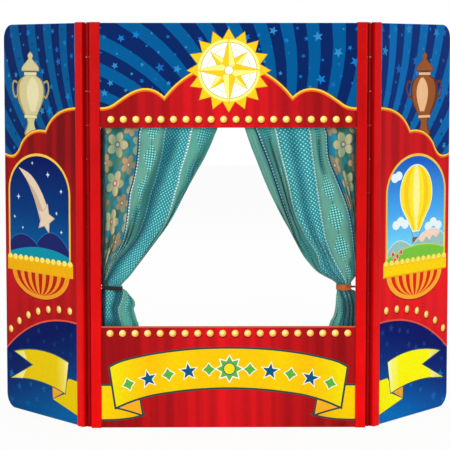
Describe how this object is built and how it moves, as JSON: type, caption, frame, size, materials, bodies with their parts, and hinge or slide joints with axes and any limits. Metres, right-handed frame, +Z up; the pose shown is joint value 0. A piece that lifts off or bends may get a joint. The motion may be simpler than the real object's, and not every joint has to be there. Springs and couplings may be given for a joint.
{
  "type": "tabletop puppet theatre",
  "caption": "Folding tabletop puppet theatre of printed boards on pinned edge hinges, with a stage opening and tied-back curtains.",
  "frame": {"origin": "middle of the centre board's lower edge, halfway through its thickness", "axes": "+X to the right of the stage as the audience sees it, +Y to the back, +Z up"},
  "size_m": [0.7026, 0.1649, 0.6072],
  "materials": {
    "mdf_board": "bare fibreboard with sawn edges",
    "centre_facing": "printed paper facing under a gloss film",
    "wing_facing": "printed paper facing under a gloss film",
    "edge_plastic": "satin red extruded plastic",
    "plain_steel": "drawn and zinc plated",
    "bracket_plastic": "moulded white plastic",
    "curtain_fabric": "printed cotton",
    "black_elastic": "woven elastic",
    "tie_band": "woven ribbon"
  },
  "bodies": {
    "centre": {"centre_board": "mdf_board", "centre_print": "centre_facing", "left_centre_channel": "edge_plastic", "right_centre_channel": "edge_plastic", "left_hinge_pin": "plain_steel", "right_hinge_pin": "plain_steel", "curtain_rod": "plain_steel", "left_rod_bracket": "bracket_plastic", "right_rod_bracket": "bracket_plastic", "bracket_screws": "plain_steel", "left_curtain": "curtain_fabric", "right_curtain": "curtain_fabric", "left_tieback": "black_elastic", "right_tieback": "tie_band", "right_tieback_cord": "black_elastic", "left_tieback_hook": "plain_steel", "right_tieback_hook": "plain_steel"},
    "left_wing": {"left_wing_board": "mdf_board", "left_wing_print": "wing_facing", "left_wing_channel": "edge_plastic"},
    "right_wing": {"right_wing_board": "mdf_board", "right_wing_print": "wing_facing", "right_wing_channel": "edge_plastic"}
  },
  "joints": [
    {"name": "left_fold", "type": "hinge", "parent": "centre", "child": "left_wing", "pos_m": [-0.2085, 0.0072, 0], "axis": [0, 0, -1], "range_deg": [-59, 126]},
    {"name": "right_fold", "type": "hinge", "parent": "centre", "child": "right_wing", "pos_m": [0.2085, 0.0072, 0], "axis": [0, 0, 1], "range_deg": [-59, 126]}
  ]
}
